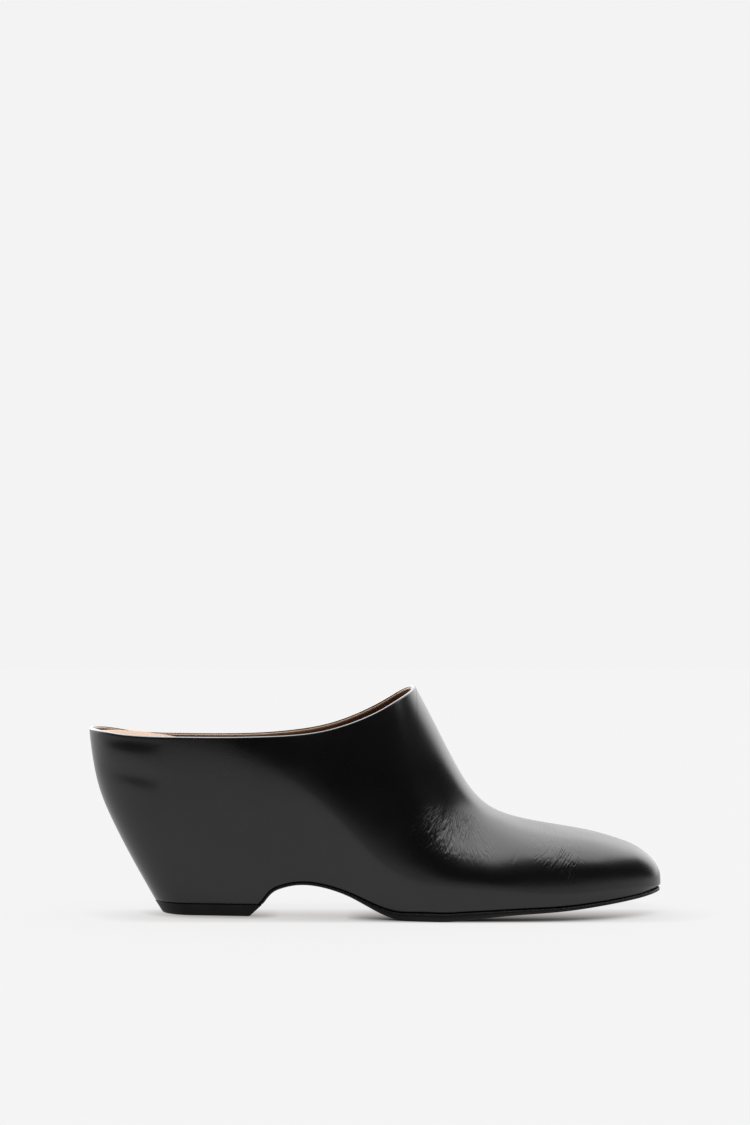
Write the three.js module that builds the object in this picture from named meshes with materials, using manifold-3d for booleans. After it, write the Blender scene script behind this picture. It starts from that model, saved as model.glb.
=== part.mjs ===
// A right-foot slip-on mule on a high, cut-out wedge that is covered in the same leather as the
// upper. Millimetres. +X points to the toe, +Y to the inner (medial) side, +Z up, and the floor is
// Z = 0. The origin lies on the floor below the middle of the shoe.
import * as THREE from "three";
import { mergeVertices } from "three/addons/utils/BufferGeometryUtils.js";
import Module from "manifold-3d";

const wasm = await Module();
wasm.setup();

// ---------------------------------------------------------------- driving dimensions
const BACK_X = -124.2; // rearmost point of the collar
const TOE_X = 124.4; // tip of the nose
const THROAT_X = 17.5; // peak of the topline, in front of the instep
const WALL = 2.0; // leather 1.2 and lining 0.8
const GAP = 0.3; // clearance between pieces that touch
const TOP_PIECE_HEIGHT = 5.2; // rubber lift under the wedge
const TREAD_START = 15; // flat part of the forefoot that stands on the floor
const TREAD_END = 27;
const SHANK_X = -35; // the sole clears the heel's lift from here on
const INSOLE_THICKNESS = 3.2;
const WEDGE_END = 45; // the covered wedge core thins out to nothing at the ball
const LIFT_TAPER = 2.0; // the lift draws in by this much towards the floor
const LIFT_RAKE = 1.3; // and the back of its base stands this much further forwards
const LIFT_FRONT = { top: -47.9, base: -53.4 }; // front edge of the lift, raked like the breast
const SOLE_ROUND = 0.5; // rounding of the sole's edges

const TOE_ROUND = { start: 110, drop: 10.2 }; // the nose curves down in front of here
const TOE_PLAN = { start: 52, power: 2.5, middleY: 6.5 }; // a softly squared toe, seen from above
const TOE_TUCK = 1.1; // the nose undercuts to the sole by this much
const HEEL_PLAN = { length: 27, basePower: 2.8, collarPower: 2.2 }; // rounded back, from above
const LEAN_END = -45; // sections lean like the back seam behind here
const UNDERCUT_BLEND = 0.16; // how softly the wall turns under at its widest line

// ---------------------------------------------------------------- tables of the last
// Back seam, from the lift up to the collar.
const BACK_SEAM = curves(["z", "x"], [
  [5.5, -95.4],
  [20, -103.7],
  [36, -112.2],
  [52, -119.2],
  [67, -122.7],
  [79, BACK_X],
  [110, BACK_X - 0.4],
]);

// Seen from above, as distances from the foot's axis: the widest line of the wall (belly) and the
// line where the wall meets the sole (foot), on the outer and the inner side.
const PLAN = curves(["x", "bellyOuter", "bellyInner", "footOuter", "footInner"], [
  [BACK_X, 27.2, 27.2, 19.4, 19.4],
  [-95, 28.4, 28.2, 20.6, 20.4],
  [-64, 29.6, 28.8, 22.4, 21.8],
  [-30, 31.2, 29.2, 25.8, 23.6],
  [-13, 33.2, 30.6, 28.8, 25.4],
  [4, 36.4, 33.6, 32.8, 29.4],
  [17.5, 39.0, 37.0, 36.8, 34.4],
  [31, 40.9, 39.6, 39.3, 37.8],
  [50, 41.0, 41.0, 39.6, 39.6],
  [70, 39.4, 40.9, 38.0, 39.5],
  [95, 35.2, 39.4, 33.8, 38.0],
  [TOE_X, 28.5, 37.0, 27.3, 35.8],
]);

// Seen from the side: the widest line of the wall, the sideways place of the ridge, how much a
// section narrows above its widest line and over what height, and how full it is: 2 is an ellipse
// and more is squarer.
const SIDE = curves(["x", "belly", "ridgeY", "narrowing", "waist", "fullness"], [
  [BACK_X, 79, 0, 0, 30, 2],
  [-95, 79, 0, 0, 30, 2],
  [-64, 74, 0, 0, 30, 2],
  [-47, 66, 0.5, 0.02, 30, 2],
  [-30, 56, 1, 0.08, 30, 2],
  [-13, 40.5, 2, 0.1, 28, 2.1],
  [4, 23.5, 3, 0.07, 26, 2.15],
  [11, 19.5, 3.5, 0.09, 26, 2.15],
  [THROAT_X, 17, 4, 0.13, 26, 2.1],
  [24, 15.8, 4, 0.21, 24.5, 2.1],
  [31, 15, 4, 0.28, 22, 2.15],
  [37, 14.5, 4, 0.31, 21, 2.3],
  [43, 14, 4, 0.29, 20, 2.45],
  [50, 13.5, 4.2, 0.2, 18, 2.4],
  [56, 13, 4.4, 0.12, 18, 2.4],
  [70, 11.8, 4.8, 0, 20, 2.5],
  [83, 11.4, 5.3, 0, 20, 2.65],
  [95, 12, 5.8, 0, 20, 2.75],
  [107, 12.3, 6.2, 0, 20, 2.75],
  [TOE_X, 11.3, 6.5, 0, 20, 2.75],
]);

// Ridge of the last, seen from the side. Behind the throat it is only the shape that the collar
// is cut from, and in front of TOE_ROUND it carries on as the roof that the nose drops from.
const RIDGE = curves(["x", "z"], [
  [BACK_X, 106],
  [-60, 104],
  [-25, 109],
  [0, 114],
  [10.8, 107.6],
  [THROAT_X, 96.8],
  [25, 82.6],
  [32.9, 67.2],
  [40.8, 53.7],
  [48.7, 45.5],
  [56.6, 41.4],
  [67, 38.5],
  [83, 35.6],
  [98.7, 32.4],
  [112, 28.2],
  [TOE_X, 24.1],
]);

// Top line of the collar, and how much it rises towards the inner side.
const TOPLINE = curves(["x", "z", "tilt"], [
  [-136, 79.5, 0],
  [BACK_X, 79.3, 0],
  [-119, 78.6, -0.01],
  [-115, 77.9, -0.014],
  [-110.5, 77.1, -0.018],
  [-105, 76.5, -0.02],
  [-96, 76.0, -0.019],
  [-84, 75.8, -0.018],
  [-70, 75.7, -0.018],
  [-47, 76.4, -0.01],
  [-33, 77.6, 0.005],
  [-20, 79.9, 0.02],
  [-6.5, 84.5, 0.035],
  [4, 89.6, 0.045],
  [11, 93.6, 0.055],
  [THROAT_X, 97.0, 0.08],
]);

// Underside of the sole from the heel breast through the arch to the tread, and the toe spring.
const ARCH = curves(["x", "z"], [
  [-53.4, -0.3],
  [-48, 4.9],
  [-44.2, 9.6],
  [-40, 12.0],
  [-35, 13.3],
  [-30, 13.7],
  [-20, 12.3],
  [-10, 8.8],
  [0, 3.7],
  [5.5, 1.4],
  [10, 0.3],
  [TREAD_START, 0],
  [TREAD_START + 4, 0],
]);
const TOE_SPRING = curves(["x", "z"], [
  [TREAD_END - 6, 0],
  [TREAD_END, 0],
  [31, 0.15],
  [36, 0.65],
  [44, 1.5],
  [60, 2.9],
  [77, 3.8],
  [98, 5.7],
  [112, 7.3],
  [TOE_X, 8.9],
]);
// Thickness of the sole, and how far its edge stands proud of the upper.
const SOLE = curves(["x", "thickness", "lip"], [
  [-53, 1.2, 0.3],
  [-25, 1.2, 0.3],
  [-5, 1.7, 0.5],
  [TREAD_START, 3.3, 0.9],
  [TREAD_END, 3.4, 0.9],
  [36, 3.2, 0.9],
  [45, 2.75, 0.9],
  [60, 2.2, 0.9],
  [77, 1.8, 0.9],
  [100, 1.5, 0.9],
  [TOE_X, 1.3, 0.9],
]);

// Upper face of the insole: heel seat, shank, ball and toe.
const FOOTBED = curves(["x", "z"], [
  [BACK_X, 77.4],
  [-115, 77.0],
  [-105, 76.2],
  [-95, 74.8],
  [-80, 71.8],
  [-65, 67.2],
  [-50, 61.0],
  [-35, 53.2],
  [-20, 43.8],
  [-5, 33.0],
  [10, 22.4],
  [25, 14.0],
  [38, 9.6],
  [52, 8.2],
  [77, 9.2],
  [98, 10.9],
  [TOE_X, 13.9],
]);

// ---------------------------------------------------------------- curves
/** Natural cubic splines through a table: its first column is the variable, the others the values. */
function curves(names, rows) {
  const knots = rows.map((row) => row[0]);
  return Object.fromEntries(
    names.slice(1).map((name, k) => [name, spline(knots, rows.map((row) => row[k + 1]))]),
  );
}

function spline(xs, ys) {
  const last = xs.length - 1;
  const bend = new Array(xs.length).fill(0); // second derivatives, zero at both ends
  const carry = new Array(xs.length).fill(0);
  for (let i = 1; i < last; i += 1) {
    const before = xs[i] - xs[i - 1];
    const after = xs[i + 1] - xs[i];
    const pivot = 2 * (before + after) - before * carry[i - 1];
    const turn = (ys[i + 1] - ys[i]) / after - (ys[i] - ys[i - 1]) / before;
    carry[i] = after / pivot;
    bend[i] = (6 * turn - before * bend[i - 1]) / pivot;
  }
  for (let i = last - 1; i > 0; i -= 1) bend[i] -= carry[i] * bend[i + 1];
  return (x) => {
    const at = THREE.MathUtils.clamp(x, xs[0], xs[last]);
    let i = 0;
    while (i < last - 1 && at > xs[i + 1]) i += 1;
    const step = xs[i + 1] - xs[i];
    const a = (xs[i + 1] - at) / step;
    const b = 1 - a;
    const sag = ((a ** 3 - a) * bend[i] + (b ** 3 - b) * bend[i + 1]) * (step * step) / 6;
    return a * ys[i] + b * ys[i + 1] + sag;
  };
}

const { clamp, lerp, smoothstep } = THREE.MathUtils;

/** Superellipse quarter: 1 at 0, falling to 0 at 1. */
const rounded = (t, power) => (1 - clamp(t, 0, 1) ** power) ** (1 / power);

/** 0 at the widest line, growing almost straight to 1 at the sole. */
const undercut = (u) => (Math.hypot(u, UNDERCUT_BLEND) - UNDERCUT_BLEND)
  / (Math.hypot(1, UNDERCUT_BLEND) - UNDERCUT_BLEND);

// ---------------------------------------------------------------- the last
/** Height of the sole's underside. */
function soleUnder(x) {
  if (x < TREAD_START) return ARCH.z(x);
  return x > TREAD_END ? TOE_SPRING.z(x) : 0;
}

/** Height of the sole's upper face: its thickness is measured square to the underside. */
function soleTop(x) {
  const slope = soleUnder(x + 0.5) - soleUnder(x - 0.5);
  return soleUnder(x) + SOLE.thickness(x) * Math.hypot(1, slope);
}

/** Height at which the upper ends: on the lift under the heel, on the sole in front of it. */
const footZ = (x) => Math.max(x < SHANK_X ? TOP_PIECE_HEIGHT : 0, soleTop(x)) + GAP;

/** Height of the insole's underside, on the wedge core and then on the sole. */
function insoleUnder(x) {
  const slope = FOOTBED.z(x + 0.5) - FOOTBED.z(x - 0.5);
  return Math.max(FOOTBED.z(x) - INSOLE_THICKNESS * Math.hypot(1, slope), soleTop(x) + GAP);
}

/**
 * Height of the ridge, with the nose rounded down at the toe. inset moves the surface inwards,
 * square to itself.
 */
function ridgeZ(x, inset) {
  const reach = clamp((x - TOE_ROUND.start) / (TOE_X - inset - TOE_ROUND.start), 0, 1);
  const slope = RIDGE.z(x + 0.5) - RIDGE.z(x - 0.5);
  return RIDGE.z(x) - inset * Math.hypot(1, slope)
    - TOE_ROUND.drop * (1 - Math.sqrt(1 - reach * reach));
}

/** How far a section leans with the back seam: fully at the heel, not at all from LEAN_END on. */
const leanAt = (station) => 1 - smoothstep(station, BACK_X, LEAN_END);

/** Forward place, at height z, of the section that stands at a station on the collar. */
const leanX = (station, z) => station + leanAt(station) * (BACK_SEAM.x(z) - BACK_X);

/** Height of the foot line under a station, found by repetition because the section leans. */
function stationFootZ(station) {
  let z = TOP_PIECE_HEIGHT + GAP;
  for (let i = 0; i < 8; i += 1) z = footZ(leanX(station, z));
  return z;
}

/** The station whose section reaches x at the foot line of the heel. */
function stationAt(x) {
  const shift = BACK_SEAM.x(TOP_PIECE_HEIGHT + GAP) - BACK_X;
  let station = x;
  for (let i = 0; i < 40; i += 1) station = x - leanAt(station) * shift;
  return station;
}

/** Sideways place of a wall, drawn in to the rounded back and the squared toe. */
function closeIn(station, z, distance, inset) {
  const power = lerp(HEEL_PLAN.basePower, HEEL_PLAN.collarPower, clamp(z / 79, 0, 1));
  const behind = (station - BACK_X - inset) / (HEEL_PLAN.length - inset);
  const ahead = (station - TOE_PLAN.start) / (TOE_X - inset - TOE_PLAN.start);
  const draw = rounded(1 - behind, power) * rounded(ahead, TOE_PLAN.power);
  const middle = TOE_PLAN.middleY * smoothstep(station, 0, TOE_X);
  return lerp(middle, distance, draw);
}

/**
 * A point of the last's skin. side is -1 on the outer side and +1 on the inner, and rise runs from
 * 0 at the foot line through 1 at the widest line to 2 on the ridge.
 */
function skinPoint(station, side, rise, inset = 0) {
  const low = stationFootZ(station);
  const middle = Math.max(SIDE.belly(station), low + 0.5);
  const belly = side * (side < 0 ? PLAN.bellyOuter(station) : PLAN.bellyInner(station));
  const foot = side * (side < 0 ? PLAN.footOuter(station) : PLAN.footInner(station));
  if (rise <= 1) {
    const under = undercut(1 - rise);
    const z = lerp(low, middle, rise);
    const y = closeIn(station, z, lerp(belly, foot, under) - side * inset, inset);
    const tuck = TOE_TUCK * under * smoothstep(station, TOE_ROUND.start, TOE_X);
    return new THREE.Vector3(leanX(station, z) - tuck, y, z);
  }
  const turn = (rise - 1) * Math.PI / 2;
  const full = 2 / SIDE.fullness(station);
  const top = Math.max(ridgeZ(station, inset), middle + 0.2);
  const z = lerp(middle, top, Math.sin(turn) ** full);
  const edge = closeIn(station, z, belly - side * inset, inset);
  const crest = closeIn(station, z, SIDE.ridgeY(station), inset);
  const climb = (z - middle) / SIDE.waist(station);
  const drawn = SIDE.narrowing(station) * (1 - Math.exp(-(climb ** 2.5)));
  const spread = Math.abs(Math.cos(turn)) ** full * (1 - drawn);
  return new THREE.Vector3(leanX(station, z), lerp(crest, edge, spread), z);
}

/** The point of the skin at height z. */
function wallPoint(station, side, z, inset) {
  const low = stationFootZ(station);
  const middle = Math.max(SIDE.belly(station), low + 0.5);
  if (z <= middle) return skinPoint(station, side, (z - low) / (middle - low), inset);
  const top = Math.max(ridgeZ(station, inset), middle + 0.2);
  const share = Math.min((z - middle) / (top - middle), 1) ** (SIDE.fullness(station) / 2);
  return skinPoint(station, side, 1 + Math.asin(share) / (Math.PI / 2), inset);
}

/** Underside and top of the insole at a station. */
function footbedAt(station) {
  const x = leanX(station, FOOTBED.z(station));
  return { under: insoleUnder(x), top: FOOTBED.z(x) };
}

// ---------------------------------------------------------------- building solids
const spaced = (from, to, steps, ease) => Array.from(
  { length: steps + 1 },
  (_, i) => lerp(from, to, ease(i / steps)),
);
const evenly = (from, to, steps) => spaced(from, to, steps, (t) => t);
const crowdedFirst = (from, to, steps) => spaced(from, to, steps, (t) => 1 - Math.cos(t * Math.PI / 2));
const crowdedLast = (from, to, steps) => spaced(from, to, steps, (t) => Math.sin(t * Math.PI / 2));

/** Stations of the sections: close together at the heel, arch, throat and toe. */
const sections = (backInset = 0, toeInset = backInset) => [
  ...crowdedFirst(BACK_X + backInset, stationAt(-54), 11),
  ...evenly(-54, -22, 16).slice(1).map(stationAt),
  ...evenly(-22, 0, 4).slice(1),
  ...evenly(0, 36, 11).slice(1),
  ...evenly(36, 92, 9).slice(1),
  ...crowdedLast(92, TOE_X - toeInset, 11).slice(1),
];

/** Triangles between the two halves of a ring, from its ends to its middle. */
function rungs(around) {
  const found = [];
  for (let low = 0, high = around - 1; low + 1 < high; low += 1, high -= 1) {
    found.push([low, low + 1, high]);
    if (low + 1 < high - 1) found.push([low + 1, high - 1, high]);
  }
  return found;
}

/** Closed mesh through rings of points. Rings that shrink to a seam are welded, not capped. */
function loft(rings, { capStart = false, capEnd = false } = {}) {
  const around = rings[0].length;
  const index = [];
  for (let i = 0; i < rings.length - 1; i += 1) {
    for (let j = 0; j < around; j += 1) {
      const here = i * around + j;
      const beside = i * around + (j + 1) % around;
      index.push(here, beside, beside + around, here, beside + around, here + around);
    }
  }
  const lastRing = (rings.length - 1) * around;
  for (const [a, b, c] of rungs(around)) {
    if (capStart) index.push(a, c, b);
    if (capEnd) index.push(lastRing + a, lastRing + b, lastRing + c);
  }
  const geometry = new THREE.BufferGeometry().setFromPoints(rings.flat());
  geometry.setIndex(index);
  return welded(geometry);
}

/** Merges points that coincide and drops the triangles that vanish with them. */
function welded(geometry) {
  const merged = mergeVertices(geometry, 1e-4);
  const corners = Array.from(merged.index.array);
  const kept = [];
  for (let i = 0; i < corners.length; i += 3) {
    const [a, b, c] = corners.slice(i, i + 3);
    if (a !== b && b !== c && c !== a) kept.push(a, b, c);
  }
  merged.setIndex(enclosed(merged, kept) < 0 ? kept.reverse() : kept);
  return merged;
}

/** Six times the volume inside a closed mesh, negative where its faces point inwards. */
function enclosed(geometry, index) {
  const corner = (k) => new THREE.Vector3().fromBufferAttribute(geometry.attributes.position, index[k]);
  let total = 0;
  for (let k = 0; k < index.length; k += 3) total += corner(k).dot(corner(k + 1).cross(corner(k + 2)));
  return total;
}

function toSolid(geometry) {
  const plain = geometry.clone();
  plain.deleteAttribute("normal");
  plain.deleteAttribute("uv");
  const merged = welded(plain);
  const mesh = new wasm.Mesh({
    numProp: 3,
    vertProperties: new Float32Array(merged.attributes.position.array),
    triVerts: new Uint32Array(merged.index.array),
  });
  return new wasm.Manifold(mesh);
}

function toGeometry(solid) {
  const mesh = solid.getMesh();
  const geometry = new THREE.BufferGeometry();
  geometry.setAttribute("position", new THREE.BufferAttribute(mesh.vertProperties, 3));
  geometry.setIndex(new THREE.BufferAttribute(mesh.triVerts, 1));
  return geometry;
}

function finished(name, geometry, color, roughness) {
  const shown = geometry.toNonIndexed();
  shown.computeVertexNormals();
  const material = new THREE.MeshStandardMaterial({ color, roughness, metalness: 0 });
  const mesh = new THREE.Mesh(shown, material);
  mesh.name = name;
  return mesh;
}

/** The last as a solid, drawn in by inset and carried on downwards by extra below the foot line. */
function lastSolid(lowSteps, highSteps, inset, extra) {
  const rises = [...evenly(0, 1, lowSteps), ...evenly(1, 2, highSteps).slice(1)];
  const rings = sections(inset).map((station) => {
    const outer = rises.map((rise) => skinPoint(station, -1, rise, inset));
    const inner = rises.slice(0, -1).map((rise) => skinPoint(station, 1, rise, inset)).reverse();
    const below = [inner.at(-1), outer[0]].map((p) => new THREE.Vector3(p.x, p.y, p.z - extra));
    return extra > 0 ? [...outer, ...inner, ...below] : [...outer, ...inner];
  });
  return toSolid(loft(rings));
}

/** Everything above the top line of the collar. */
function collarSolid() {
  const side = 70;
  const height = 160;
  const places = [
    ...evenly(-135, -15, 20),
    ...evenly(-15, THROAT_X, 13).slice(1),
    THROAT_X + 10,
  ];
  const rings = places.map((x) => {
    const past = Math.max(x - THROAT_X, 0) * 3;
    const rim = (y) => TOPLINE.z(x) + TOPLINE.tilt(x) * y + past;
    return [[-side, rim(-side)], [-side, height], [side, height], [side, rim(side)]]
      .map(([y, z]) => new THREE.Vector3(x, y, z));
  });
  return toSolid(loft(rings, { capStart: true, capEnd: true }));
}

// ---------------------------------------------------------------- the pieces
/** Leather and lining in one wall, from the collar down over the wedge to the sole. */
function makeUpper() {
  const hollow = lastSolid(5, 9, WALL, 8);
  const upper = lastSolid(6, 11, 0, 0).subtract(hollow).subtract(collarSolid());
  return finished("upper", toGeometry(upper), 0x17171a, 0.38);
}

/** Core of the wedge: it fills the covered heel and shank under the insole. */
function makeWedgeCore() {
  const inset = WALL + GAP;
  const stations = [...sections(inset).filter((station) => station < WEDGE_END - 1), WEDGE_END];
  const rings = stations.map((station) => {
    const heights = evenly(stationFootZ(station), footbedAt(station).under - GAP, 5);
    const outer = heights.map((z) => wallPoint(station, -1, z, inset));
    const inner = heights.map((z) => wallPoint(station, 1, z, inset)).reverse();
    return [...outer, ...inner];
  });
  return finished("wedge_core", loft(rings, { capEnd: true }), 0xb08a62, 0.9);
}

/** Padded footbed inside the upper, flush with the collar at the back. */
function makeInsole() {
  const side = WALL + GAP;
  const toe = side + 2;
  const rings = sections(side, toe).map((station) => {
    const inset = lerp(side, toe, smoothstep(station, 92, TOE_X - toe));
    const { under, top } = footbedAt(station);
    const heights = evenly(under, top, 2);
    const outer = heights.map((z) => wallPoint(station, -1, z, inset));
    const inner = heights.map((z) => wallPoint(station, 1, z, inset)).reverse();
    return [...outer, ...inner];
  });
  return finished("insole", loft(rings), 0xd8ae8c, 0.7);
}

/** Thin sole: tread, toe spring, arch and heel breast, down to the lift. */
function makeOutsole() {
  const rings = sections().filter((station) => station > stationAt(-53)).map((station) => {
    const lip = SOLE.lip(station);
    const outer = skinPoint(station, -1, 0, -lip);
    const inner = skinPoint(station, 1, 0, -lip);
    const under = soleUnder(outer.x);
    const top = soleTop(outer.x);
    const draw = Math.min(SOLE_ROUND, (inner.y - outer.y) / 4);
    const edge = (point, inwards, z) => new THREE.Vector3(point.x, point.y + inwards * draw, z);
    return [
      edge(outer, 1, under),
      edge(outer, 0, under + SOLE_ROUND * 0.8),
      edge(outer, 0, top - SOLE_ROUND * 0.5),
      edge(outer, 1, top),
      edge(inner, -1, top),
      edge(inner, 0, top - SOLE_ROUND * 0.5),
      edge(inner, 0, under + SOLE_ROUND * 0.8),
      edge(inner, -1, under),
    ];
  });
  const lift = new THREE.BoxGeometry(40, 80, 20);
  lift.translate(-60, 0, TOP_PIECE_HEIGHT + GAP - 10);
  const sole = toSolid(loft(rings, { capStart: true, capEnd: true })).subtract(toSolid(lift));
  return finished("outsole", toGeometry(sole), 0x101012, 0.5);
}

/**
 * Outline of the heel's base at one height, from the front corner round the back. rake draws the
 * back forwards and leaves the front where it is.
 */
function liftOutline(inset, rake, frontX, z) {
  const places = crowdedFirst(BACK_X + inset, stationAt(frontX), 14);
  const side = (sign) => places.map((station) => skinPoint(station, sign, 0, inset));
  const outline = [...side(-1).reverse(), ...side(1).slice(1)];
  const front = Math.max(...outline.map(({ x }) => x));
  const back = Math.min(...outline.map(({ x }) => x));
  return outline.map(({ x, y }) => (
    new THREE.Vector3(x + rake * (front - x) / (front - back), y, z)
  ));
}

/** Rubber lift under the wedge: flat on the floor, drawn in downwards, raked at the front. */
function makeTopPiece() {
  const base = liftOutline(LIFT_TAPER, LIFT_RAKE, LIFT_FRONT.base, 0);
  const top = liftOutline(0, 0, LIFT_FRONT.top, TOP_PIECE_HEIGHT);
  return finished("top_piece", loft([base, top], { capStart: true, capEnd: true }), 0x161618, 0.55);
}

const mule = new THREE.Group();
mule.add(makeUpper(), makeInsole(), makeWedgeCore(), makeOutsole(), makeTopPiece());

export default mule;
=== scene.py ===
"""Looks of a black leather wedge mule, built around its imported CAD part.

Sizes are in millimetres of the shoe's own frame, as in the CAD: +X to the toe, +Y to the inner
side, +Z up, floor at Z = 0. add_piece() turns them into metres.
"""

import math
from types import SimpleNamespace

import bmesh
import bpy
import numpy as np
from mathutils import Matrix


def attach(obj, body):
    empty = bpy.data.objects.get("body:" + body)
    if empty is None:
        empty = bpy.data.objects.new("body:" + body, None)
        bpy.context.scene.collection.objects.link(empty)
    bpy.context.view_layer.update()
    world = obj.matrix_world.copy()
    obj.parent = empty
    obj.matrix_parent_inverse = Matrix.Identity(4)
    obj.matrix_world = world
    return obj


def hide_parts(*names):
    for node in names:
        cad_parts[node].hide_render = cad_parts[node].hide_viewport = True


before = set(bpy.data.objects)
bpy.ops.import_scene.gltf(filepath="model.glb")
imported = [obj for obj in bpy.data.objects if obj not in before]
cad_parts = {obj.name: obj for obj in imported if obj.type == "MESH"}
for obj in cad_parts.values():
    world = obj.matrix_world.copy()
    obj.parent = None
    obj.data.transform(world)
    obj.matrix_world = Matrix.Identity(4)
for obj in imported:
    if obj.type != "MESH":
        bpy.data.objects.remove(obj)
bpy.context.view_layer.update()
BODY = "root"
MM = 0.001

# ---------------------------------------------------------------- the last, as in the CAD
BACK_X, TOE_X = -124.2, 124.4  # rearmost point of the collar, and tip of the nose
THROAT_X = 17.5  # front end of the collar, where it peaks
WALL, GAP = 2.0, 0.3  # thickness of the upper, and clearance between pieces that touch
LEATHER, LINING_BACK = 1.2, 1.25  # depths of the leather's inner and the lining's outer face
TOP_PIECE_HEIGHT = 5.2  # the lift under the heel
TREAD_START, TREAD_END = 15.0, 27.0  # flat part of the forefoot that stands on the floor
SHANK_X = -35.0  # the sole clears the heel's lift from here on
INSOLE_THICKNESS = 3.2
LIFT_TAPER, LIFT_RAKE = 2.0, 1.3  # the lift draws in downwards, its back a little more
LIFT_FRONT_TOP, LIFT_FRONT_BASE = -47.9, -53.4
TOE_ROUND_START, TOE_ROUND_DROP = 110.0, 10.2  # the nose curves down in front of here
TOE_PLAN_START, TOE_PLAN_POWER, TOE_PLAN_MIDDLE = 52.0, 2.5, 6.5  # a softly squared toe
TOE_TUCK = 1.1  # the nose undercuts to the sole by this much
HEEL_LENGTH, HEEL_BASE_POWER, HEEL_COLLAR_POWER = 27.0, 2.8, 2.2  # rounded back, from above
COLLAR_HEIGHT = 79.0
LEAN_END = -45.0  # sections lean like the back seam behind here
UNDERCUT_BLEND = 0.16  # how softly the wall turns under at its widest line
RIM_RISE = 0.52  # slope of the top line in front of the throat


def spline(knots, values):
    """Natural cubic spline through one column of a table, level outside its knots."""
    xs, ys = np.array(knots, float), np.array(values, float)
    system, turn = np.eye(len(xs)), np.zeros(len(xs))
    for i in range(1, len(xs) - 1):
        before, after = xs[i] - xs[i - 1], xs[i + 1] - xs[i]
        system[i, i - 1:i + 2] = before, 2 * (before + after), after
        turn[i] = 6 * ((ys[i + 1] - ys[i]) / after - (ys[i] - ys[i - 1]) / before)
    bend = np.linalg.solve(system, turn)

    def value(x):
        at = np.clip(x, xs[0], xs[-1])
        i = np.clip(np.searchsorted(xs, at, side="right") - 1, 0, len(xs) - 2)
        step = xs[i + 1] - xs[i]
        a = (xs[i + 1] - at) / step
        b = 1 - a
        sag = ((a**3 - a) * bend[i] + (b**3 - b) * bend[i + 1]) * step**2 / 6
        return a * ys[i] + b * ys[i + 1] + sag

    return value


def curves(names, rows):
    """One spline for each named column of a table, whose first column is the variable."""
    knots = [row[0] for row in rows]
    return SimpleNamespace(
        **{name: spline(knots, [row[k + 1] for row in rows]) for k, name in enumerate(names)}
    )


# Back seam: height, and place along the shoe.
BACK_SEAM = curves(["x"], [
    (5.5, -95.4), (20, -103.7), (36, -112.2), (52, -119.2), (67, -122.7), (79, BACK_X),
    (110, BACK_X - 0.4),
])
# Seen from above, distances from the foot's axis: the wall's widest line (belly) and its foot.
PLAN = curves(["belly_outer", "belly_inner", "foot_outer", "foot_inner"], [
    (BACK_X, 27.2, 27.2, 19.4, 19.4),
    (-95, 28.4, 28.2, 20.6, 20.4),
    (-64, 29.6, 28.8, 22.4, 21.8),
    (-30, 31.2, 29.2, 25.8, 23.6),
    (-13, 33.2, 30.6, 28.8, 25.4),
    (4, 36.4, 33.6, 32.8, 29.4),
    (17.5, 39.0, 37.0, 36.8, 34.4),
    (31, 40.9, 39.6, 39.3, 37.8),
    (50, 41.0, 41.0, 39.6, 39.6),
    (70, 39.4, 40.9, 38.0, 39.5),
    (95, 35.2, 39.4, 33.8, 38.0),
    (TOE_X, 28.5, 37.0, 27.3, 35.8),
])
# Height of the widest line, sideways place of the ridge, how much a section narrows above its
# widest line and over what height, and how full it is: 2 is an ellipse and more is squarer.
SIDE = curves(["belly", "ridge_y", "narrowing", "waist", "fullness"], [
    (BACK_X, 79, 0, 0, 30, 2), (-95, 79, 0, 0, 30, 2), (-64, 74, 0, 0, 30, 2),
    (-47, 66, 0.5, 0.02, 30, 2), (-30, 56, 1, 0.08, 30, 2), (-13, 40.5, 2, 0.1, 28, 2.1),
    (4, 23.5, 3, 0.07, 26, 2.15), (11, 19.5, 3.5, 0.09, 26, 2.15), (17.5, 17, 4, 0.13, 26, 2.1),
    (24, 15.8, 4, 0.21, 24.5, 2.1), (31, 15, 4, 0.28, 22, 2.15), (37, 14.5, 4, 0.31, 21, 2.3),
    (43, 14, 4, 0.29, 20, 2.45), (50, 13.5, 4.2, 0.2, 18, 2.4), (56, 13, 4.4, 0.12, 18, 2.4),
    (70, 11.8, 4.8, 0, 20, 2.5), (83, 11.4, 5.3, 0, 20, 2.65), (95, 12, 5.8, 0, 20, 2.75),
    (107, 12.3, 6.2, 0, 20, 2.75), (TOE_X, 11.3, 6.5, 0, 20, 2.75),
])
# Ridge of the last. Behind the throat it is only what the collar is cut from.
RIDGE = curves(["z"], [
    (BACK_X, 106), (-60, 104), (-25, 109), (0, 114), (10.8, 107.6), (17.5, 96.8), (25, 82.6),
    (32.9, 67.2), (40.8, 53.7), (48.7, 45.5), (56.6, 41.4), (67, 38.5), (83, 35.6),
    (98.7, 32.4), (112, 28.2), (TOE_X, 24.1),
])
# The collar's top line, and how much it rises towards the inner side.
TOPLINE = curves(["z", "tilt"], [
    (-136, 79.5, 0), (BACK_X, 79.3, 0), (-119, 78.6, -0.01), (-115, 77.9, -0.014),
    (-110.5, 77.1, -0.018), (-105, 76.5, -0.02), (-96, 76.0, -0.019), (-84, 75.8, -0.018),
    (-70, 75.7, -0.018), (-47, 76.4, -0.01), (-33, 77.6, 0.005), (-20, 79.9, 0.02),
    (-6.5, 84.5, 0.035), (4, 89.6, 0.045), (11, 93.6, 0.055), (17.5, 97.0, 0.08),
])
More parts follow.
